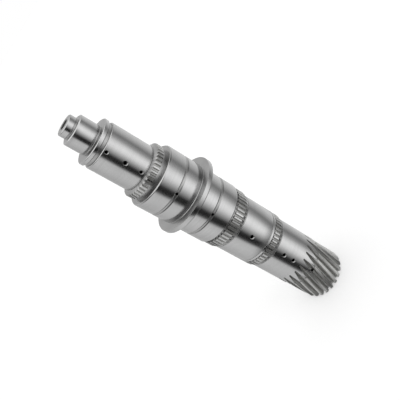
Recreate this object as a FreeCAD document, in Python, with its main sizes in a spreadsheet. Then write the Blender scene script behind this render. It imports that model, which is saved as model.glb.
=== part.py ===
import FreeCAD, Part
import os

import Sketcher

# Main shaft of a heavy gearbox: one turned forging with three short splines, a flange
# and a helical gear cut in its end. Millimetres and degrees. The shaft stands on its
# gear end: the origin is the middle of that face, and +Z runs up to the pilot end.
# The row of oil holes faces -Y.

# Driving sizes. A length is measured along the shaft, a dia is a diameter.
SIZES = {
    # helical gear at the lower end
    "gear_teeth": 22,
    "normal_module": 3.25,
    "pressure_angle": 20,
    "helix_angle": 14.5,
    "gear_tip_dia": 79,
    "tooth_depth": 7.3,
    "gear_bevel_length": 2.8,
    "gear_bevel_drop": 1.6,
    "gear_land_length": 49.6,
    "full_depth_length": 52.1,
    "hob_radius": 50,
    "root_floor_width": 2.5,
    "gear_turn": 14.4,
    "centre_hole_dia": 5,
    "centre_hole_length": 12,
    "centre_cone_dia": 13,
    # ring turned between the gear and the lower seat
    "relief_length": 2,
    "relief_depth": 0.7,
    # lower seat and its spline
    "lower_seat_dia": 80,
    "lower_seat_length": 76,
    "lower_spline_teeth": 42,
    "lower_spline_dia": 84.6,
    "lower_spline_length": 9.4,
    "lower_ramp_length": 5.4,
    "lower_spline_turn": 1.1,
    "lower_groove_length": 1.6,
    # middle seat and its spline
    "middle_seat_dia": 85,
    "middle_seat_length": 54.7,
    "middle_spline_teeth": 44,
    "middle_spline_dia": 89.6,
    "middle_spline_length": 13.2,
    "middle_ramp_length": 5.5,
    "middle_spline_turn": 3.3,
    "middle_groove_length": 3.2,
    # the two gear seats beside the flange, each with an oil groove
    "gear_seat_dia": 92,
    "gear_seat_bevel_length": 1.6,
    "gear_seat_bevel_drop": 1.2,
    "lower_gear_seat_length": 53.4,
    "upper_gear_seat_length": 55.2,
    "oil_groove_width": 5,
    "oil_groove_depth": 0.9,
    "lower_oil_groove_height": 28.4,
    "upper_oil_groove_height": 26.9,
    # flange
    "flange_dia": 116,
    "flange_length": 8.5,
    "flange_bevel_length": 2,
    "flange_bevel_drop": 2.6,
    # upper spline, with its cutter relief below it
    "upper_relief_length": 6.1,
    "upper_spline_teeth": 40,
    "upper_spline_dia": 80.3,
    "upper_spline_length": 8.7,
    "upper_ramp_length": 3.1,
    "upper_spline_turn": 0,
    # upper seat, retaining ring groove and collar
    "upper_seat_dia": 67,
    "upper_seat_length": 62.6,
    "ring_groove_length": 4.4,
    "ring_groove_dia": 62,
    "collar_dia": 66.6,
    "collar_length": 6.1,
    # end seat and pilot
    "end_seat_dia": 43.6,
    "end_seat_length": 28.7,
    "end_seat_bevel_length": 1.2,
    "end_seat_bevel_drop": 2.3,
    "pilot_dia": 30.6,
    "pilot_length": 11,
    "pilot_bevel": 1,
    # spline form shared by the three splines
    "spline_depth": 2.1,
    "spline_flank_angle": 45.8,
    "spline_groove_clearance": 0.25,
    # oil gallery down the middle and the holes that feed from it
    "gallery_dia": 10,
    "gallery_mouth_dia": 15,
    "gallery_mouth_angle": 60,
    "gallery_below_last_hole": 6,
    "small_hole_dia": 4,
    "large_hole_dia": 5,
    "upper_hole_drop": 5,
    "upper_middle_hole_drop": 32.7,
    "upper_low_hole_drop": 56.8,
    "middle_hole_drop": 23.7,
    "lower_hole_drop": 18,
    "lower_second_hole_drop": 37,
    "gear_hole_height": 48.4,
    # how far a cutter stands clear of the metal at the end of its stroke
    "overrun": 1,
}

# Sizes that follow from the driving ones, as formulas of the sheet.
FOLLOWING = {
    "gear_tip": "=gear_tip_dia / 2",
    "gear_end": "=gear_tip - gear_bevel_drop",
    "gear_root": "=gear_tip - tooth_depth",
    "relief_floor": "=gear_tip - relief_depth",
    "lower_seat": "=lower_seat_dia / 2",
    "lower_tip": "=lower_spline_dia / 2",
    "lower_root": "=lower_tip - spline_depth",
    "lower_groove_floor": "=lower_root - spline_groove_clearance",
    "middle_seat": "=middle_seat_dia / 2",
    "middle_tip": "=middle_spline_dia / 2",
    "middle_root": "=middle_tip - spline_depth",
    "middle_groove_floor": "=middle_root - spline_groove_clearance",
    "gear_seat": "=gear_seat_dia / 2",
    "gear_seat_end": "=gear_seat - gear_seat_bevel_drop",
    "oil_groove_floor": "=gear_seat - oil_groove_depth",
    "flange": "=flange_dia / 2",
    "flange_edge": "=flange - flange_bevel_drop",
    "upper_tip": "=upper_spline_dia / 2",
    "upper_root": "=upper_tip - spline_depth",
    "upper_relief_floor": "=upper_root - spline_groove_clearance",
    "upper_seat": "=upper_seat_dia / 2",
    "ring_groove_floor": "=ring_groove_dia / 2",
    "collar": "=collar_dia / 2",
    "end_seat": "=end_seat_dia / 2",
    "end_seat_end": "=end_seat - end_seat_bevel_drop",
    "pilot": "=pilot_dia / 2",
    "pilot_end": "=pilot - pilot_bevel",
    # Transverse section of the helical teeth. Each flank is two chords of the circle that
    # fits the involute at the pitch circle: its centre is the point where the flank's
    # normal touches the base circle.
    "pitch_circle": "=gear_teeth * normal_module / cos(helix_angle) / 2",
    "transverse_angle": "=atan(tan(pressure_angle) / cos(helix_angle)) / 1deg",
    "flank_round": "=pitch_circle * sin(transverse_angle)",
    "flank_centre_angle": "=90 / gear_teeth + transverse_angle",
    "flank_centre_across": "=pitch_circle * cos(transverse_angle) * sin(flank_centre_angle)",
    "flank_centre_out": "=pitch_circle * cos(transverse_angle) * cos(flank_centre_angle)",
    "cutter_top": "=lower_seat + overrun",
    "pitch_gap": "=pitch_circle - flank_centre_out",
    "pitch_half": "=flank_centre_across - sqrt(flank_round^2 - pitch_gap^2)",
    "top_gap": "=cutter_top - flank_centre_out",
    "top_half": "=flank_centre_across - sqrt(flank_round^2 - top_gap^2)",
    "turn_per_mm": "=tan(helix_angle) / pitch_circle * 180 / pi",
    # the hob leaves the metal along its own radius
    "hob_rise": "=lower_seat - gear_root + overrun",
    "hob_run_out": "=sqrt(hob_radius^2 - (hob_radius - hob_rise)^2)",
}

# The turned outline from the gear end up. Each step: its name, its length, and its
# radius at the lower and at the upper end.
TURNED = [
    ("gear_bevel_step", "gear_bevel_length", "gear_end", "gear_tip"),
    ("gear_step", "gear_land_length", "gear_tip", "gear_tip"),
    ("relief_in_step", "relief_length / 2", "gear_tip", "relief_floor"),
    ("relief_out_step", "relief_length / 2", "relief_floor", "lower_seat"),
    ("lower_seat_step", "lower_seat_length", "lower_seat", "lower_seat"),
    ("lower_ramp_step", "lower_ramp_length", "lower_seat", "lower_tip"),
    ("lower_spline_step", "lower_spline_length", "lower_tip", "lower_tip"),
    ("lower_groove_step", "lower_groove_length", "lower_groove_floor", "lower_groove_floor"),
    ("middle_seat_step", "middle_seat_length", "middle_seat", "middle_seat"),
    ("middle_ramp_step", "middle_ramp_length", "middle_seat", "middle_tip"),
    ("middle_spline_step", "middle_spline_length", "middle_tip", "middle_tip"),
    ("middle_groove_step", "middle_groove_length", "middle_groove_floor", "middle_groove_floor"),
    ("lower_gear_bevel_step", "gear_seat_bevel_length", "gear_seat_end", "gear_seat"),
    ("lower_gear_seat_step", "lower_oil_groove_height - gear_seat_bevel_length - oil_groove_width / 2",
     "gear_seat", "gear_seat"),
    ("lower_oil_groove_in_step", "oil_groove_width / 2", "gear_seat", "oil_groove_floor"),
    ("lower_oil_groove_out_step", "oil_groove_width / 2", "oil_groove_floor", "gear_seat"),
    ("lower_gear_top_step",
     "lower_gear_seat_length - lower_oil_groove_height - oil_groove_width / 2",
     "gear_seat", "gear_seat"),
    ("flange_bevel_step", "flange_bevel_length", "flange_edge", "flange"),
    ("flange_step", "flange_length - flange_bevel_length", "flange", "flange"),
    ("upper_gear_seat_step", "upper_oil_groove_height - oil_groove_width / 2",
     "gear_seat", "gear_seat"),
    ("upper_oil_groove_in_step", "oil_groove_width / 2", "gear_seat", "oil_groove_floor"),
    ("upper_oil_groove_out_step", "oil_groove_width / 2", "oil_groove_floor", "gear_seat"),
    ("upper_gear_top_step",
     "upper_gear_seat_length - upper_oil_groove_height - oil_groove_width / 2 - gear_seat_bevel_length",
     "gear_seat", "gear_seat"),
    ("upper_gear_bevel_step", "gear_seat_bevel_length", "gear_seat", "gear_seat_end"),
    ("upper_relief_step", "upper_relief_length", "upper_relief_floor", "upper_relief_floor"),
    ("upper_spline_step", "upper_spline_length", "upper_tip", "upper_tip"),
    ("upper_ramp_step", "upper_ramp_length", "upper_tip", "upper_seat"),
    ("upper_seat_step", "upper_seat_length", "upper_seat", "upper_seat"),
    ("ring_groove_step", "ring_groove_length", "ring_groove_floor", "ring_groove_floor"),
    ("collar_step", "collar_length", "collar", "collar"),
    ("end_seat_step", "end_seat_length - end_seat_bevel_length", "end_seat", "end_seat"),
    ("end_seat_bevel_step", "end_seat_bevel_length", "end_seat", "end_seat_end"),
    ("pilot_step", "pilot_length - pilot_bevel", "pilot", "pilot"),
    ("pilot_bevel_step", "pilot_bevel", "pilot", "pilot_end"),
]

# Sections of one tooth space at full depth, and along the run-out.
HELIX_SECTIONS = 3
RUN_OUT_SECTIONS = 4

doc = FreeCAD.newDocument("gearbox_main_shaft")
sheet = doc.addObject("Spreadsheet::Sheet", "Sizes")


def fill_sheet():
    """Write every size and formula in its own named cell."""
    cells = dict(SIZES)
    cells.update(FOLLOWING)
    below = "0"
    for name, length, low, high in TURNED:
        cells[name] = f"={below} + {length}"
        below = name
    for row, (name, content) in enumerate(cells.items(), start=1):
        sheet.set(f"A{row}", name)
        sheet.set(f"B{row}", str(content))
        sheet.setAlias(f"B{row}", name)
    doc.recompute()


def origin_feature(body, role):
    """One of the body's own planes or axes."""
    return next(item for item in body.Origin.OriginFeatures if item.Role == role)


def new_sketch(body, name, role):
    """A sketch laid flat on one of the body's own planes."""
    sketch = body.newObject("Sketcher::SketchObject", name)
    sketch.AttachmentSupport = [(origin_feature(body, role), "")]
    sketch.MapMode = "FlatFace"
    return sketch


def pin_point(sketch, edge, end, across, along, label):
    """Fix one end of an edge by its two coordinates, each bound to a formula."""
    point = sketch.getPoint(edge, end)
    for kind, value, formula in (("DistanceX", point.x, across), ("DistanceY", point.y, along)):
        if formula is None:
            axis = -2 if kind == "DistanceX" else -1
            sketch.addConstraint(Sketcher.Constraint("PointOnObject", edge, end, axis))
            continue
        index = sketch.addConstraint(Sketcher.Constraint(kind, -1, 1, edge, end, value))
        name = f"{label}_{'across' if kind == 'DistanceX' else 'along'}"
        sketch.renameConstraint(index, name)
        sketch.setExpression(f"Constraints.{name}", formula)


def outline_sketch(body, name, points):
    """A closed outline on the XZ plane from rows of (across, along) formulas, None on an axis."""
    sketch = new_sketch(body, name, "XZ_Plane")
    draw_outline(sketch, points)
    return sketch


def draw_outline(sketch, points):
    """Draw a closed outline of straight edges through points bound to formulas."""
    places = [FreeCAD.Vector(value_of(across), value_of(along), 0) for across, along in points]
    count = len(points)
    for number in range(count):
        sketch.addGeometry(Part.LineSegment(places[number], places[(number + 1) % count]))
    for number in range(count):
        sketch.addConstraint(
            Sketcher.Constraint("Coincident", number, 2, (number + 1) % count, 1))
    for number, (across, along) in enumerate(points):
        pin_point(sketch, number, 1, across, along, f"point{number}")


def value_of(formula):
    """The present value of a formula of the sheet, for the first shape of a sketch."""
    if formula is None:
        return 0.0
    return float(sheet.evalExpression(formula))


def cell(name):
    """A named cell as an expression."""
    return f"Sizes.{name}"


def turned_blank(body):
    """The whole turned outline, spun about the shaft's axis."""
    points = [(None, None)]
    below = None
    last_high = None
    for name, length, low, high in TURNED:
        height = cell(below) if below else None
        if last_high is not None and low != last_high:
            points.append((cell(last_high), height))
        points.append((cell(low), height))
        below = name
        last_high = high
    points.append((cell(last_high), cell(below)))
    points.append((None, cell(below)))
    sketch = outline_sketch(body, "TurnedOutline", points)
    blank = body.newObject("PartDesign::Revolution", "TurnedBlank")
    blank.Profile = sketch
    blank.ReferenceAxis = (sketch, ["V_Axis"])
    blank.Angle = 360
    sketch.Visibility = False
    doc.recompute()


def spun_cut(body, name, points):
    """A cut that is round about the shaft's axis."""
    sketch = outline_sketch(body, name + "Outline", points)
    cut = body.newObject("PartDesign::Groove", name)
    cut.Profile = sketch
    cut.ReferenceAxis = (sketch, ["V_Axis"])
    cut.Angle = 360
    doc.recompute()


def oil_gallery(body):
    """The long oil bore from the pilot end, with its countersunk mouth."""
    top = cell("pilot_bevel_step")
    radius = f"{cell('gallery_dia')} / 2"
    mouth = f"{cell('gallery_mouth_dia')} / 2"
    bottom = f"{cell('gear_hole_height')} - {cell('gallery_below_last_hole')}"
    shoulder = f"{top} - ({mouth} - {radius}) / tan({cell('gallery_mouth_angle')} / 2)"
    spun_cut(body, "OilGallery",
             [(None, bottom), (radius, bottom), (radius, shoulder), (mouth, top), (None, top)])


def centre_hole(body):
    """The 60 degree centre in the gear end, on which the shaft turned while it was cut."""
    radius = f"{cell('centre_hole_dia')} / 2"
    mouth = f"{cell('centre_cone_dia')} / 2"
    depth = f"({mouth} - {radius}) / tan({cell('gallery_mouth_angle')} / 2)"
    floor = cell("centre_hole_length")
    spun_cut(body, "CentreHole",
             [(None, None), (mouth, None), (radius, depth), (radius, floor), (None, floor)])


def polar_copies(body, name, cut, count):
    """Repeat a cut evenly round the shaft's axis."""
    pattern = body.newObject("PartDesign::PolarPattern", name)
    pattern.Originals = [cut]
    pattern.Axis = (origin_feature(body, "Z_Axis"), [""])
    pattern.Angle = 360
    pattern.Refine = False
    pattern.setExpression("Occurrences", cell(count))
    body.Tip = pattern
    doc.recompute()


def turn_section(sketch, height, turn):
    """Lift a section to its height and turn its middle line from -Y towards +X."""
    sketch.AttachmentOffset = FreeCAD.Placement(
        FreeCAD.Vector(0, 0, value_of(height)),
        FreeCAD.Rotation(FreeCAD.Vector(0, 0, 1), 180 + value_of(turn)))
    sketch.setExpression("AttachmentOffset.Base.z", height)
    sketch.setExpression("AttachmentOffset.Rotation.Angle", f"180 + {turn}")


def spline(body, title, stem, start, stroke, upwards):
    """One short spline: a V-shaped space, cut from its relief groove out over the ramp."""
    sketch = new_sketch(body, title + "Space", "XY_Plane")
    root = cell(stem + "_root")
    top = f"{cell(stem + '_tip')} + {cell('overrun')}"
    half = f"({top} - {root}) * tan({cell('spline_flank_angle')})"
    draw_outline(sketch, [(None, root), (half, top), (f"-{half}", top)])
    turn_section(sketch, start, cell(stem + "_spline_turn"))
    space = body.newObject("PartDesign::Pocket", title + "Cut")
    space.Profile = sketch
    space.Reversed = upwards
    space.setExpression("Length", stroke)
    doc.recompute()
    polar_copies(body, title + "Teeth", space, stem + "_spline_teeth")


def splines(body):
    """The three splines. Each cutter starts half way along the groove beside the teeth."""
    lower = (f"{cell('lower_groove_length')} / 2 + {cell('lower_spline_length')}"
             f" + {cell('lower_ramp_length')}")
    middle = (f"{cell('middle_groove_length')} / 2 + {cell('middle_spline_length')}"
              f" + {cell('middle_ramp_length')}")
    upper = (f"{cell('upper_relief_length')} / 2 + {cell('upper_spline_length')}"
             f" + {cell('upper_ramp_length')}")
    spline(body, "LowerSpline", "lower",
           f"{cell('lower_groove_step')} - {cell('lower_groove_length')} / 2", lower, False)
    spline(body, "MiddleSpline", "middle",
           f"{cell('middle_groove_step')} - {cell('middle_groove_length')} / 2", middle, False)
    spline(body, "UpperSpline", "upper",
           f"{cell('upper_relief_step')} - {cell('upper_relief_length')} / 2", upper, True)


def tooth_space(body, name, height, rise):
    """One transverse section of the space between two helical teeth.

    The rise lifts the section out of the metal as the hob leaves.
    """
    sketch = new_sketch(body, name, "XY_Plane")
    side = [(f"{cell('root_floor_width')} / 2", f"{cell('gear_root')} + {rise}"),
            (cell("pitch_half"), f"{cell('pitch_circle')} + {rise}"),
            (cell("top_half"), f"{cell('cutter_top')} + {rise}")]
    mirrored = [(f"-({across})", along) for across, along in reversed(side)]
    draw_outline(sketch, side + mirrored)
    turn_section(sketch, height, f"{cell('gear_turn')} + ({height}) * {cell('turn_per_mm')}")
    return sketch


def lofted_teeth(body, name, sections):
    """Cut one space through a row of sections and repeat it for every tooth."""
    space = body.newObject("PartDesign::SubtractiveLoft", name + "Cut")
    space.Profile = sections[0]
    space.Sections = sections[1:]
    space.Ruled = False
    space.Refine = False
    doc.recompute()
    polar_copies(body, name + "Teeth", space, "gear_teeth")


def helical_gear(body):
    """Right-hand helical teeth: full depth from the end face, then the hob's run-out."""
    full = cell("full_depth_length")
    sections = []
    for number in range(HELIX_SECTIONS):
        share = f"{number} / {HELIX_SECTIONS - 1}"
        height = f"-{cell('overrun')} + ({full} + {cell('overrun')}) * {share}"
        sections.append(tooth_space(body, f"HelixSection{number}", height, "0"))
    lofted_teeth(body, "Helix", sections)
    lifted = [sections[-1]]
    for number in range(1, RUN_OUT_SECTIONS):
        travel = f"{cell('hob_run_out')} * {number} / {RUN_OUT_SECTIONS - 1}"
        rise = f"({cell('hob_radius')} - sqrt({cell('hob_radius')}^2 - ({travel})^2))"
        lifted.append(tooth_space(body, f"RunOutSection{number}", f"{full} + {travel}", rise))
    lofted_teeth(body, "RunOut", lifted)


def oil_hole(body, name, height, surface, drill):
    """One radial hole, drilled from outside a surface on the -Y side into the gallery."""
    sketch = new_sketch(body, name + "Outline", "XZ_Plane")
    radius = f"{cell(drill)} / 2"
    place = FreeCAD.Vector(0, value_of(height), 0)
    sketch.addGeometry(Part.Circle(place, FreeCAD.Vector(0, 0, 1), value_of(radius)))
    pin_point(sketch, 0, 3, None, height, "hole")
    index = sketch.addConstraint(Sketcher.Constraint("Radius", 0, value_of(radius)))
    sketch.setExpression(f"Constraints[{index}]", radius)
    hole = body.newObject("PartDesign::Pocket", name)
    hole.Profile = sketch
    hole.Reversed = True
    hole.setExpression("Length", f"{surface} + {cell('overrun')}")
    doc.recompute()


def oil_holes(body):
    """The row of oil holes, one line down the -Y side."""
    upper = cell("upper_seat_step")
    middle = cell("middle_seat_step")
    lower = cell("lower_seat_step")
    rows = [
        ("UpperHole", f"{upper} - {cell('upper_hole_drop')}", "upper_seat", "small_hole_dia"),
        ("UpperMiddleHole", f"{upper} - {cell('upper_middle_hole_drop')}", "upper_seat",
         "large_hole_dia"),
        ("UpperLowHole", f"{upper} - {cell('upper_low_hole_drop')}", "upper_seat", "small_hole_dia"),
        ("UpperGrooveHole", cell("upper_oil_groove_in_step"), "gear_seat", "small_hole_dia"),
        ("LowerGrooveHole", cell("lower_oil_groove_in_step"), "gear_seat", "small_hole_dia"),
        ("MiddleHole", f"{middle} - {cell('middle_hole_drop')}", "middle_seat", "large_hole_dia"),
        ("LowerHole", f"{lower} - {cell('lower_hole_drop')}", "lower_seat", "large_hole_dia"),
        ("LowerSecondHole", f"{lower} - {cell('lower_second_hole_drop')}", "lower_seat",
         "large_hole_dia"),
        ("GearHole", cell("gear_hole_height"), "gear_tip", "large_hole_dia"),
    ]
    for name, height, surface, drill in rows:
        oil_hole(body, name, height, cell(surface), drill)


def main_shaft():
    """The whole shaft, in the order in which it is made."""
    body = doc.addObject("PartDesign::Body", "MainShaft")
    body.Label = "main_shaft"
    turned_blank(body)
    oil_gallery(body)
    centre_hole(body)
    oil_holes(body)
    splines(body)
    helical_gear(body)
    body.Placement = FreeCAD.Placement()
    return body


def check_document():
    """Stop if any object of the document has failed."""
    for item in doc.Objects:
        if "Invalid" in item.State or "Error" in item.State:
            raise RuntimeError(f"{item.Name} has failed: {item.State}")


def write_part(body):
    """Check the finished solid and write it out."""
    shape = body.Shape
    if shape.isNull() or not shape.isValid() or len(shape.Solids) != 1:
        raise RuntimeError(f"{body.Label} is not one valid solid")
    os.makedirs("parts", exist_ok=True)
    shape.exportStep(f"parts/{body.Label}.step")
    box = shape.optimalBoundingBox()
    print(f"{body.Label}: {box.XLength:.2f} x {box.YLength:.2f} x {box.ZLength:.2f} mm,"
          f" {shape.Volume / 1000:.1f} cm3, {len(shape.Faces)} faces")


fill_sheet()
shaft = main_shaft()
doc.recompute()
check_document()
write_part(shaft)
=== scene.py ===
import math

import bmesh
import bpy
from mathutils import Matrix, Vector


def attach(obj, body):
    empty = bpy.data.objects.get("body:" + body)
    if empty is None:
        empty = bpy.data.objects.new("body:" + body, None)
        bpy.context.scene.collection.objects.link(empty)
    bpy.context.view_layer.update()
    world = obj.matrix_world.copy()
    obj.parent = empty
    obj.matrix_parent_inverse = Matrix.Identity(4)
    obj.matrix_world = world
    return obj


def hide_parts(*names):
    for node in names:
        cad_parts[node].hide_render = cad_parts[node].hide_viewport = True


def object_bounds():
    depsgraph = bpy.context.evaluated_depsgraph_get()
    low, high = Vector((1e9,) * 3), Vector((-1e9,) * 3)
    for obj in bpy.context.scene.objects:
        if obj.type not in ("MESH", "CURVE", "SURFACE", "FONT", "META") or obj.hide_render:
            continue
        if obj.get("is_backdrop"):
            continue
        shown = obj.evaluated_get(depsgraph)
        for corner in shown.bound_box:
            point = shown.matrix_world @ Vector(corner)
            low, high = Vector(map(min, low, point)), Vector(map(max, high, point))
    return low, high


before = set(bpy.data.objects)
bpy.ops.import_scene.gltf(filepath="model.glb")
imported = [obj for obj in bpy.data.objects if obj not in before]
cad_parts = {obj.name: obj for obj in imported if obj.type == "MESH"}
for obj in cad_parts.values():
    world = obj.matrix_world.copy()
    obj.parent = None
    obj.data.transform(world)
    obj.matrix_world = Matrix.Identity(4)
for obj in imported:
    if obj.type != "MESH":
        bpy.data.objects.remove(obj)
cad_low, cad_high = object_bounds()

# Main shaft of a heavy gearbox, standing on its gear end: +Z runs up to the pilot, and
# the line of oil holes faces -Y. Sizes are written in millimetres and angles in degrees.
MM = 0.001

# Turned outline from the bottom of the centre hole, round the outside, to the bottom of
# the oil gallery: radius, height, and how far that corner is rounded.
OUTLINE = [
    (0, 12, 0), (2.5, 12, 0), (2.5, 6.93, 0), (6.5, 0, 0.2), (37.9, 0, 0.4), (39.5, 2.8, 0.4),
    (39.5, 52.4, 0.2), (38.8, 52.5, 0), (38.8, 54.3, 0), (40, 54.4, 0.2),
    # lower seat, neck, ramp and lower spline
    (40, 128.9, 0.1), (39.5, 129.1, 0), (39.5, 130.3, 0), (40, 130.5, 0), (42.3, 135.8, 0.4),
    (42.3, 145.2, 0.25), (39.95, 145.2, 0), (39.95, 146.8, 0),
    # narrow land, middle seat, neck, ramp and middle spline
    (42.5, 146.8, 0.3), (42.5, 150.3, 0.2), (41.9, 150.5, 0), (41.9, 151.5, 0), (42.5, 151.7, 0.2),
    (42.5, 200, 0.1), (42, 200.2, 0), (42, 201.3, 0), (42.5, 201.5, 0), (44.8, 207, 0.4),
    (44.8, 220.2, 0.25), (42.45, 220.2, 0), (42.45, 223.4, 0),
    # lower gear seat with its oil groove, and the undercut in the corner of the flange
    (44.8, 223.4, 0.2), (46, 225, 0.3), (46, 249.3, 0.15), (45.45, 250.1, 0), (45.15, 251, 0),
    (45.1, 251.8, 0), (45.15, 252.6, 0), (45.45, 253.5, 0), (46, 254.3, 0.15), (46, 274.1, 0.1),
    (45.5, 274.8, 0), (45.5, 275.9, 0), (45.62, 276.35, 0), (45.95, 276.68, 0), (46.4, 276.8, 0),
    # flange
    (55.4, 276.8, 0.3), (58, 278.8, 0.4), (58, 285.3, 0.5),
    # upper gear seat
    (46.4, 285.3, 0), (45.95, 285.42, 0), (45.62, 285.75, 0), (45.5, 286.2, 0), (45.5, 287.3, 0),
    (46, 288, 0.1), (46, 309.7, 0.15), (45.45, 310.5, 0), (45.15, 311.4, 0), (45.1, 312.2, 0),
    (45.15, 313, 0), (45.45, 313.9, 0), (46, 314.7, 0.15), (46, 338.9, 0.3), (44.8, 340.5, 0.3),
    # cutter relief, upper spline, ramp and neck
    (37.8, 340.5, 0), (37.8, 346.6, 0), (40.15, 346.6, 0.25), (40.15, 355.3, 0.4),
    (33.5, 358.4, 0), (33, 358.6, 0), (33, 359.7, 0), (33.5, 359.9, 0.1),
    # upper seat, ring groove and collar
    (33.5, 419.9, 0.25), (32.4, 421, 0.2), (31, 421, 0), (31, 425.4, 0), (32.3, 425.4, 0.2),
    (33.3, 426.4, 0.25), (33.3, 430.5, 0.25), (32.3, 431.5, 0.25), (22.25, 431.5, 0),
    (21.8, 431.62, 0), (21.47, 431.95, 0), (21.35, 432.4, 0), (21.35, 433.5, 0),
    (21.8, 434.2, 0.1),
    # end seat, pilot and oil gallery
    (21.8, 459, 0.3), (19.5, 460.2, 0.25), (15.75, 460.2, 0), (15.3, 460.32, 0),
    (14.97, 460.65, 0), (14.85, 461.1, 0), (14.85, 462.2, 0), (15.3, 462.9, 0.1),
    (15.3, 470.2, 0.25), (14.3, 471.2, 0.2), (7.5, 471.2, 0.2), (5, 466.87, 0), (5, 42.4, 0),
    (0, 39.4, 0),
]
TURN_STEPS = 240

# Splines: teeth, tip radius, turn of a space from -Y towards +X, and the two ends of the
# cutter's stroke. Their spaces are alike: a flat floor, straight flanks, and edges that are
# broken just below the tips. Widths are half widths, and the slope is width gained per depth.
SPLINES = [
    (42, 42.3, 1.1, 129, 146),
    (44, 44.8, 3.3, 200, 221.8),
    (40, 40.15, 0, 343.5, 359.5),
]
SPACE_DEPTH = 2.1
SPACE_FLOOR = 0.9
SPACE_SLOPE = math.tan(math.radians(31))
EDGE_BREAK_DEPTH = 0.2
EDGE_BREAK_REACH = 0.5
EDGE_BREAK_SPREAD = 0.4

# Helical teeth: count, turn of a space at the end face, turn in degrees for each millimetre
# of height, and the radii of the root and of the top of the cutter. The flank is a circle
# that fits the involute at the pitch circle: its radius, and its centre across and outwards.
GEAR_TEETH = 22
GEAR_TURN = 14.4
TURN_PER_MM = 0.4013
GEAR_ROOT = 32.2
GEAR_TOP = 40.6
FLANK_RADIUS = 13.0
FLANK_ACROSS = 14.44
FLANK_OUT = 31.4
FLANK_STEPS = 6
# The rounded root, as half width and height above the root, and where the flank takes over.
ROOT_ROUND = [(0.6, 0), (1.25, 0.3), (1.6, 0.9)]
FLANK_START = 1.5
# Up to the full depth the space keeps its form, and above it the hob's arc lifts it out. The
# cutter starts below the end face.
FULL_DEPTH = 52.1
HOB_RADIUS = 50
RUN_OUT = 28.4
CUTTER_START = -1
DEPTH_STEPS = 14
RUN_OUT_STEPS = 8

# Oil holes on the -Y side: height, radius, and how far from the axis the countersink starts.
# The two holes in the oil grooves have none, so theirs starts outside the metal.
OIL_HOLES = [
    (416, 2, 32.6), (388.3, 2.5, 32.4), (364.2, 2, 32.6), (312.2, 2, 47), (251.8, 2, 47),
    (177.8, 2.5, 41.4), (112.4, 2.5, 38.9), (93.4, 2.5, 38.9), (48.4, 2.5, 38.6),
]
COUNTERSINK_REACH = 4
HOLE_SIDES = 40

# Stretches that keep the turning tool's finish: low end, high end, and widest radius.
TURNED_BANDS = [
    (52.45, 54.35, 39), (129, 130.4, 39.6), (145.2, 146.8, 40), (150.3, 151.7, 42.2),
    (200.1, 201.4, 42.1), (220.2, 223.4, 42.5), (249.4, 254.2, 45.9), (274.7, 276.8, 45.6),
    (285.3, 287.4, 45.6), (309.8, 314.6, 45.9), (340.5, 346.6, 37.9), (358.5, 359.8, 33.1),
    (421, 425.4, 31.1), (431.6, 434.1, 21.7), (460.2, 462.8, 15.2),
]
# The bore and its mouth lie within this radius above this height; there the drilled steel's
# painted shade goes.
BORE_MOUTH = 7.6
BORE_ABOVE = 400
# Below this height the outside is the gear's.
GEAR_HEIGHT = 52.45
# A face whose normal has at least this share along an axis looks that way.
FACING = 0.9
SMOOTH_BELOW = 28

# What the steel mirrors round the shaft: degrees from the photograph's side, positive
# to the right, and how bright the room is there, above the horizon and below it.
HIGH_WALLS = [
    (-180, 0.66), (-125, 0.66), (-90, 0.1), (14, 0.1), (28, 1.1), (60, 1.1), (74, 0.1), (95, 0.1),
    (130, 0.66), (180, 0.66),
]
LOW_WALLS = [
    (-180, 0.58), (-130, 0.57), (-100, 0.69), (-72, 0.78), (-45, 0.74), (-37, 0.1), (-31, 0.02),
    (-14, 0.02), (2, 0.46), (22, 1.07), (36, 1.2), (48, 1.02), (66, 0.45), (84, 0.24), (108, 0.6),
    (132, 0.8), (180, 0.82),
]
GROUND_LEVEL = 0.15
CEILING_LEVEL = 1.1
# Where one light goes over into the next, as the sine of the angle above the horizon.
GROUND_TO_LOW = (-0.82, -0.7)
LOW_TO_HIGH = (0, 0.25)
HIGH_TO_CEILING = (0.64, 0.74)

# The photograph's camera: degrees round to the right, above the level and rolled, the height
# that it looks at in metres, and how far it stands to the right of that and back from it.
CAMERA_TURN = 5.35
CAMERA_LIFT = 25.82
CAMERA_ROLL = -59.83
CAMERA_AIM = 0.2572
CAMERA_ASIDE = 0.0041
CAMERA_BACK = 0.7522
CAMERA_LENS = 47.925
SENSOR_WIDTH = 36

# The paper under the shaft, in metres, and the glow that makes it white for the camera.
FLOOR_SIZE = 40
FLOOR_GAP = 0.0002
FLOOR_GLOW = 0.35


def linear(text):
    """An sRGB hex colour as linear RGBA."""
    values = [int(text[i:i + 2], 16) / 255 for i in (1, 3, 5)]
    return [v / 12.92 if v <= 0.04045 else ((v + 0.055) / 1.055) ** 2.4 for v in values] + [1]


def add_node(tree, kind, settings=(), inputs=(), links=()):
    """Add a node with its settings, its fixed inputs, and links from other sockets."""
    node = tree.nodes.new(kind)
    for name, value in dict(settings).items():
        setattr(node, name, value)
    for name, value in dict(inputs).items():
        node.inputs[name].default_value = value
    for name, source in dict(links).items():
        tree.links.new(source, node.inputs[name])
    return node


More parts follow.
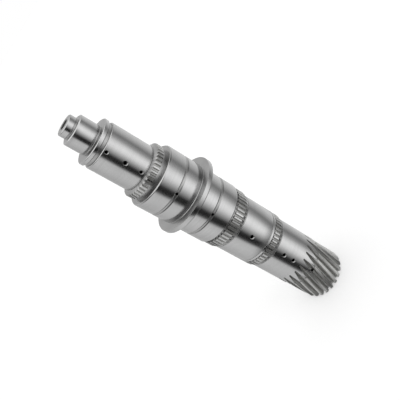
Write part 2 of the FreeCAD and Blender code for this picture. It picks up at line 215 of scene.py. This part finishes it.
def steel(name, colour, shade, roughness, spread, lines_mm, depth_mm):
    """Bare steel with the rings that a stone or a turning tool leaves round the axis.

    The rings differ in height along the shaft and hardly at all round it. Colour runs
    between two greys, and roughness goes up and down by the spread.
    """
    material = bpy.data.materials.new(name)
    material.use_nodes = True
    tree = material.node_tree
    shader = tree.nodes["Principled BSDF"]
    shader.inputs["Metallic"].default_value = 1
    place = add_node(tree, "ShaderNodeTexCoord")
    along = add_node(tree, "ShaderNodeMapping", inputs={"Scale": (6, 6, 1 / (lines_mm * MM))},
                     links={"Vector": place.outputs["Object"]})
    rings = add_node(tree, "ShaderNodeTexNoise",
                     inputs={"Scale": 1, "Detail": 3, "Roughness": 0.65},
                     links={"Vector": along.outputs["Vector"]})
    clouds = add_node(tree, "ShaderNodeTexNoise",
                      inputs={"Scale": 38, "Detail": 4, "Roughness": 0.6},
                      links={"Vector": place.outputs["Object"]})
    both = add_node(tree, "ShaderNodeMath", {"operation": "MULTIPLY"},
                    links={0: rings.outputs["Fac"], 1: clouds.outputs["Fac"]})
    tone = add_node(tree, "ShaderNodeMapRange", inputs={"From Min": 0.12, "From Max": 0.4},
                    links={"Value": both.outputs[0]})
    greys = add_node(tree, "ShaderNodeMix", {"data_type": "RGBA"},
                     inputs={"A": linear(shade), "B": linear(colour)},
                     links={"Factor": tone.outputs["Result"]})
    tree.links.new(greys.outputs["Result"], shader.inputs["Base Color"])
    finish = add_node(tree, "ShaderNodeMapRange",
                      inputs={"From Min": 0.3, "From Max": 0.7,
                              "To Min": roughness + spread, "To Max": roughness - spread},
                      links={"Value": rings.outputs["Fac"]})
    tree.links.new(finish.outputs["Result"], shader.inputs["Roughness"])
    relief = add_node(tree, "ShaderNodeBump", inputs={"Strength": 1, "Distance": depth_mm * MM},
                      links={"Height": rings.outputs["Fac"]})
    tree.links.new(relief.outputs["Normal"], shader.inputs["Normal"])
    return material


# Cylindrically ground alloy steel: a blurred mirror with faint rings.
ground = steel("ground_alloy_steel", "#cfcfcf", "#c5c5c5", 0.19, 0.02, 1.2, 0.001)
# Turned alloy steel in grooves, necks and end faces: coarser tool rings, a little duller.
turned = steel("turned_alloy_steel", "#bdbdbc", "#ababab", 0.3, 0.05, 0.9, 0.01)
# Hobbed spline spaces, case-hardened: darker than the ground tips beside them.
splined = steel("hobbed_spline_steel", "#c4c4c2", "#a8a8a6", 0.42, 0.05, 2.4, 0.006)
# Hobbed gear teeth, case-hardened: a wide soft sheen, with no clear mirror image. Its grey is
# lighter than the ground steel's: painted light, standing in for light that falls on the gear.
hobbed_painted_light = steel("hobbed_gear_steel_painted_light", "#d6d6d4", "#c2c2c0", 0.38, 0.05, 2.4, 0.006)
# Drilled oil holes and the bore's mouth: rough bore walls, in a dark grey that is painted shade
# standing in for the shade inside the holes.
drilled_painted_shade = steel("drilled_steel_painted_shade", "#4c4c4a", "#3c3c3a", 0.42, 0.05, 0.8, 0.01)


def activate(piece):
    """Make one object the only selected and active one."""
    bpy.ops.object.select_all(action="DESELECT")
    piece.select_set(True)
    bpy.context.view_layer.objects.active = piece


def enter(piece):
    """Edit mode with nothing selected."""
    activate(piece)
    bpy.ops.object.mode_set(mode="EDIT")
    bpy.ops.mesh.select_all(action="DESELECT")


def leave():
    """Back to object mode."""
    bpy.ops.object.mode_set(mode="OBJECT")


def pick(piece, kind, test):
    """Select the vertices or faces of the mesh in edit mode that pass a test."""
    mesh = bmesh.from_edit_mesh(piece.data)
    mesh.select_mode = {kind}
    for item in mesh.verts if kind == "VERT" else mesh.faces:
        item.select_set(test(item))
    mesh.select_flush_mode()
    bmesh.update_edit_mesh(piece.data)


def draw_line(name, points):
    """A row of joined points, from one corner of a plane pulled out point by point."""
    bpy.ops.object.select_all(action="DESELECT")
    bpy.ops.mesh.primitive_plane_add(size=MM)
    line = bpy.context.object
    line.name = name
    enter(line)
    bpy.ops.mesh.select_all(action="SELECT")
    bpy.ops.mesh.merge(type="CENTER")
    bpy.ops.transform.translate(value=points[0])
    for start, end in zip(points, points[1:]):
        bpy.ops.mesh.extrude_region_move(
            TRANSFORM_OT_translate={"value": Vector(end) - Vector(start)})
    return line


def turned_shaft():
    """The outline with its corners rounded, spun once round the axis."""
    points = [Vector((radius * MM, 0, height * MM)) for radius, height, rounding in OUTLINE]
    shaft = draw_line("main_shaft_skin", points)
    for rounding in sorted({row[2] for row in OUTLINE if row[2]}):
        corners = [point for point, row in zip(points, OUTLINE) if row[2] == rounding]
        pick(shaft, "VERT", lambda v: any((v.co - corner).length < 1e-6 for corner in corners))
        bpy.ops.mesh.bevel(offset=rounding * MM, segments=2, affect="VERTICES")
    bpy.ops.mesh.select_all(action="SELECT")
    bpy.ops.mesh.spin(steps=TURN_STEPS, angle=math.tau, center=(0, 0, 0), axis=(0, 0, 1))
    bpy.ops.mesh.select_all(action="SELECT")
    bpy.ops.mesh.remove_doubles(threshold=0.001 * MM)
    bpy.ops.mesh.normals_make_consistent(inside=False)
    leave()
    return shaft


def turn_right(degrees):
    """Turn what is selected about the shaft's axis, from -Y towards +X."""
    bpy.ops.transform.rotate(value=-math.radians(degrees), orient_axis="Z",
                             center_override=(0, 0, 0))


def copies_round(count):
    """Repeat what is selected evenly round the axis."""
    bpy.ops.mesh.spin(steps=count - 1, angle=math.tau * (count - 1) / count, dupli=True,
                      center=(0, 0, 0), axis=(0, 0, 1))


def spline_cutter(number, teeth, tip, turn, low, high):
    """The bar of metal that is missing between two teeth, once for every space."""
    bpy.ops.object.select_all(action="DESELECT")
    depth = SPACE_DEPTH - EDGE_BREAK_DEPTH
    middle = tip - SPACE_DEPTH + depth / 2
    mouth = SPACE_FLOOR + depth * SPACE_SLOPE
    bpy.ops.mesh.primitive_cube_add(size=1)
    bar = bpy.context.object
    bar.name = f"spline_cutter_{number}"
    enter(bar)
    bpy.ops.mesh.select_all(action="SELECT")
    bpy.ops.transform.resize(value=(2 * SPACE_FLOOR * MM, depth * MM, (high - low) * MM))
    bpy.ops.transform.translate(value=(0, -middle * MM, (high + low) / 2 * MM))
    pick(bar, "FACE", lambda f: f.normal.y < -FACING)
    bpy.ops.transform.resize(value=(mouth / SPACE_FLOOR, 1, 1))
    bpy.ops.mesh.extrude_region_move(
        TRANSFORM_OT_translate={"value": (0, -EDGE_BREAK_REACH * MM, 0)})
    bpy.ops.transform.resize(value=((mouth + EDGE_BREAK_SPREAD) / mouth, 1, 1))
    bpy.ops.mesh.select_all(action="SELECT")
    turn_right(turn)
    copies_round(teeth)
    leave()
    return bar


def gear_section():
    """Points of one tooth space, from one flank's top round the root to the other's."""
    foot = GEAR_ROOT + FLANK_START
    half = [(across, GEAR_ROOT + height) for across, height in ROOT_ROUND]
    for step in range(FLANK_STEPS + 1):
        height = foot + (GEAR_TOP - foot) * step / FLANK_STEPS
        bulge = math.sqrt(FLANK_RADIUS ** 2 - (height - FLANK_OUT) ** 2)
        half.append((FLANK_ACROSS - bulge, height))
    whole = [(-across, height) for across, height in reversed(half)] + half
    return [Vector((across * MM, -height * MM, 0)) for across, height in whole]


def gear_cutter():
    """One helical tooth space with the hob's run-out, once for every space."""
    space = draw_line("gear_cutter", gear_section())
    bpy.ops.mesh.select_all(action="SELECT")
    bpy.ops.mesh.edge_face_add()
    bpy.ops.transform.translate(value=(0, 0, CUTTER_START * MM))
    turn_right(GEAR_TURN + CUTTER_START * TURN_PER_MM)
    height = CUTTER_START
    rise = 0
    stops = [CUTTER_START + (FULL_DEPTH - CUTTER_START) * step / DEPTH_STEPS
             for step in range(1, DEPTH_STEPS + 1)]
    stops += [FULL_DEPTH + RUN_OUT * step / RUN_OUT_STEPS
              for step in range(1, RUN_OUT_STEPS + 1)]
    for stop in stops:
        bpy.ops.mesh.extrude_region_move(
            TRANSFORM_OT_translate={"value": (0, 0, (stop - height) * MM)})
        turn_right((stop - height) * TURN_PER_MM)
        travel = max(0, stop - FULL_DEPTH)
        lifted = HOB_RADIUS - math.sqrt(HOB_RADIUS ** 2 - travel ** 2)
        turn = math.radians(GEAR_TURN + stop * TURN_PER_MM)
        out = (lifted - rise) * MM
        bpy.ops.transform.translate(value=(math.sin(turn) * out, -math.cos(turn) * out, 0))
        height = stop
        rise = lifted
    bpy.ops.mesh.select_all(action="SELECT")
    copies_round(GEAR_TEETH)
    bpy.ops.mesh.select_all(action="SELECT")
    bpy.ops.mesh.normals_make_consistent(inside=False)
    leave()
    return space


def oil_hole_cutter(number, height, radius, sink):
    """A drill from the gallery outwards, which opens into a 45-degree countersink."""
    bpy.ops.object.select_all(action="DESELECT")
    bpy.ops.mesh.primitive_cylinder_add(
        vertices=HOLE_SIDES, radius=radius * MM, depth=sink * MM,
        location=(0, -sink / 2 * MM, height * MM), rotation=(math.radians(90), 0, 0))
    drill = bpy.context.object
    drill.name = f"drill_{number}"
    bpy.ops.object.transform_apply(location=True, rotation=True, scale=True)
    enter(drill)
    pick(drill, "FACE", lambda f: f.normal.y < -FACING)
    spread = (radius + COUNTERSINK_REACH) / radius
    bpy.ops.mesh.extrude_region_move(
        TRANSFORM_OT_translate={"value": (0, -COUNTERSINK_REACH * MM, 0)})
    bpy.ops.transform.resize(value=(spread, 1, spread),
                             center_override=(0, -(sink + COUNTERSINK_REACH) * MM, height * MM))
    bpy.ops.mesh.select_all(action="SELECT")
    bpy.ops.mesh.normals_make_consistent(inside=False)
    leave()
    return drill


def cut(shaft, tool, finish, edge_finish=None, edge=None):
    """Take the tool's shape out of the shaft, the new walls in the tool's finish."""
    tool.data.materials.clear()
    tool.data.materials.append(finish)
    if edge_finish:
        tool.data.materials.append(edge_finish)
        for face in tool.data.polygons:
            face.material_index = int(-face.center.y / MM > edge)
    activate(shaft)
    taken = shaft.modifiers.new("cut", "BOOLEAN")
    taken.operation = "DIFFERENCE"
    taken.solver = "EXACT"
    taken.material_mode = "TRANSFER"
    taken.object = tool
    bpy.ops.object.modifier_apply(modifier=taken.name)
    bpy.data.objects.remove(tool)


def finish_bands(shaft):
    """Give the outside its finishes.

    Grooves, necks and shoulders keep the turning tool's, the bore's mouth gets the drilled steel,
    dark with painted shade, the gear's tips get the hobbed steel, lighter with painted light, and
    the seats are ground.
    """
    slots = [slot.name for slot in shaft.data.materials]
    tool_finish = slots.index(turned.name)
    seat_finish = slots.index(ground.name)
    tooth_painted_light = slots.index(hobbed_painted_light.name)
    hole_painted_shade = slots.index(drilled_painted_shade.name)
    for face in shaft.data.polygons:
        if face.material_index != seat_finish:
            continue
        height = face.center.z / MM
        radius = math.hypot(face.center.x, face.center.y) / MM
        narrow = any(low < height < high and radius < widest
                     for low, high, widest in TURNED_BANDS)
        # The bore's mouth gets the dark drilled steel: painted shade inside the hole.
        if radius < BORE_MOUTH and height > BORE_ABOVE:
            face.material_index = hole_painted_shade
        elif narrow or abs(face.normal.z) > FACING:
            face.material_index = tool_finish
        # The gear's outside gets the hobbed steel, whose lighter grey is painted light.
        elif height < GEAR_HEIGHT:
            face.material_index = tooth_painted_light


shaft = turned_shaft()
shaft.data.materials.clear()
for metal in (ground, turned):
    shaft.data.materials.append(metal)
for number, (teeth, tip, turn, low, high) in enumerate(SPLINES):
    cut(shaft, spline_cutter(number, teeth, tip, turn, low, high), splined)
# The gear's new walls take the hobbed steel, painted lighter to stand in for light on the teeth.
cut(shaft, gear_cutter(), hobbed_painted_light)
# The drilled walls take the dark drilled steel, painted shade inside the holes; the countersinks
# take the turned steel.
for number, (height, radius, sink) in enumerate(OIL_HOLES):
    cut(shaft, oil_hole_cutter(number, height, radius, sink), drilled_painted_shade, turned, sink)
finish_bands(shaft)
activate(shaft)
bpy.ops.object.shade_smooth_by_angle(angle=math.radians(SMOOTH_BELOW))
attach(shaft, "root")
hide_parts("main_shaft")


def studio_floor():
    """A white paper floor, which the camera sees as white apart from the shaft's shadow."""
    bpy.ops.mesh.primitive_plane_add(size=FLOOR_SIZE, location=(0, 0, cad_low[2] - FLOOR_GAP))
    floor = bpy.context.object
    floor.name = "studio_floor"
    floor.visible_glossy = False
    paper = bpy.data.materials.new("matt_white_paper")
    paper.use_nodes = True
    tree = paper.node_tree
    shader = tree.nodes["Principled BSDF"]
    shader.inputs["Base Color"].default_value = linear("#f4f4f4")
    shader.inputs["Roughness"].default_value = 0.9
    shader.inputs["Specular IOR Level"].default_value = 0
    shader.inputs["Emission Color"].default_value = (1, 1, 1, 1)
    rays = add_node(tree, "ShaderNodeLightPath")
    glow = add_node(tree, "ShaderNodeMath", {"operation": "MULTIPLY"}, {1: FLOOR_GLOW},
                    {0: rays.outputs["Is Camera Ray"]})
    tree.links.new(glow.outputs[0], shader.inputs["Emission Strength"])
    floor.data.materials.append(paper)
    floor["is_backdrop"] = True


def grey(level):
    """A neutral light level as a colour."""
    return (level, level, level, 1)


def wall_light(tree, sweep, levels):
    """The brightness of the walls all the way round, as a ramp over the sweep."""
    ramp = add_node(tree, "ShaderNodeValToRGB", links={"Fac": sweep.outputs["Fac"]})
    while len(ramp.color_ramp.elements) < len(levels):
        ramp.color_ramp.elements.new(0.5)
    for element, (place, level) in zip(ramp.color_ramp.elements, levels):
        element.position = 0.5 + place / 360
        element.color = grey(level)
    return ramp.outputs["Color"]


def layer(tree, height, span, below, above):
    """Light that goes over from one source to the next within a span of heights."""
    rise = add_node(tree, "ShaderNodeMapRange",
                    inputs={"From Min": span[0], "From Max": span[1]}, links={"Value": height})
    blend = add_node(tree, "ShaderNodeMix", {"data_type": "RGBA"},
                     links={"Factor": rise.outputs["Result"]})
    for socket, source in (("A", below), ("B", above)):
        if isinstance(source, tuple):
            blend.inputs[socket].default_value = source
        else:
            tree.links.new(source, blend.inputs[socket])
    return blend.outputs["Result"]


def studio_room():
    """The light that the steel mirrors.

    There is dark ground near the shaft, walls with a bright and a dark side low down, other
    walls above the horizon, and a bright ceiling. The camera itself sees plain white.
    """
    world = bpy.data.worlds.new("studio_room")
    bpy.context.scene.world = world
    world.use_nodes = True
    tree = world.node_tree
    around = add_node(tree, "ShaderNodeTexCoord")
    facing = add_node(tree, "ShaderNodeMapping",
                      inputs={"Rotation": (0, 0, math.radians(90 - CAMERA_TURN))},
                      links={"Vector": around.outputs["Generated"]})
    sweep = add_node(tree, "ShaderNodeTexGradient", {"gradient_type": "RADIAL"},
                     links={"Vector": facing.outputs["Vector"]})
    parts = add_node(tree, "ShaderNodeSeparateXYZ", links={0: around.outputs["Generated"]})
    height = parts.outputs["Z"]
    low = layer(tree, height, GROUND_TO_LOW, grey(GROUND_LEVEL),
                wall_light(tree, sweep, LOW_WALLS))
    high = layer(tree, height, LOW_TO_HIGH, low, wall_light(tree, sweep, HIGH_WALLS))
    room = layer(tree, height, HIGH_TO_CEILING, high, grey(CEILING_LEVEL))
    rays = add_node(tree, "ShaderNodeLightPath")
    seen = add_node(tree, "ShaderNodeMix", {"data_type": "RGBA"}, {"B": (1, 1, 1, 1)},
                    {"Factor": rays.outputs["Is Camera Ray"], "A": room})
    tree.links.new(seen.outputs["Result"], tree.nodes["Background"].inputs["Color"])


def photo_camera():
    """The camera of the photograph, rolled so that the shaft lies across the picture."""
    turn = math.radians(CAMERA_TURN)
    lift = math.radians(CAMERA_LIFT)
    roll = math.radians(CAMERA_ROLL)
    back = Vector((math.sin(turn) * math.cos(lift), -math.cos(turn) * math.cos(lift),
                   math.sin(lift)))
    right = Vector((math.cos(turn), math.sin(turn), 0))
    up = back.cross(right)
    place = Vector((0, 0, CAMERA_AIM)) + CAMERA_ASIDE * right + CAMERA_BACK * back
    across = math.cos(roll) * right + math.sin(roll) * up
    upward = -math.sin(roll) * right + math.cos(roll) * up
    bpy.ops.object.camera_add()
    camera = bpy.context.object
    camera.data.lens = CAMERA_LENS
    camera.data.sensor_width = SENSOR_WIDTH
    camera.data.clip_start = 0.01
    facing = Matrix((across, upward, back)).transposed().to_4x4()
    camera.matrix_world = Matrix.Translation(place) @ facing
    bpy.context.scene.camera = camera


studio_floor()
studio_room()
photo_camera()
bpy.context.scene.view_settings.view_transform = "Standard"
low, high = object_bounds()
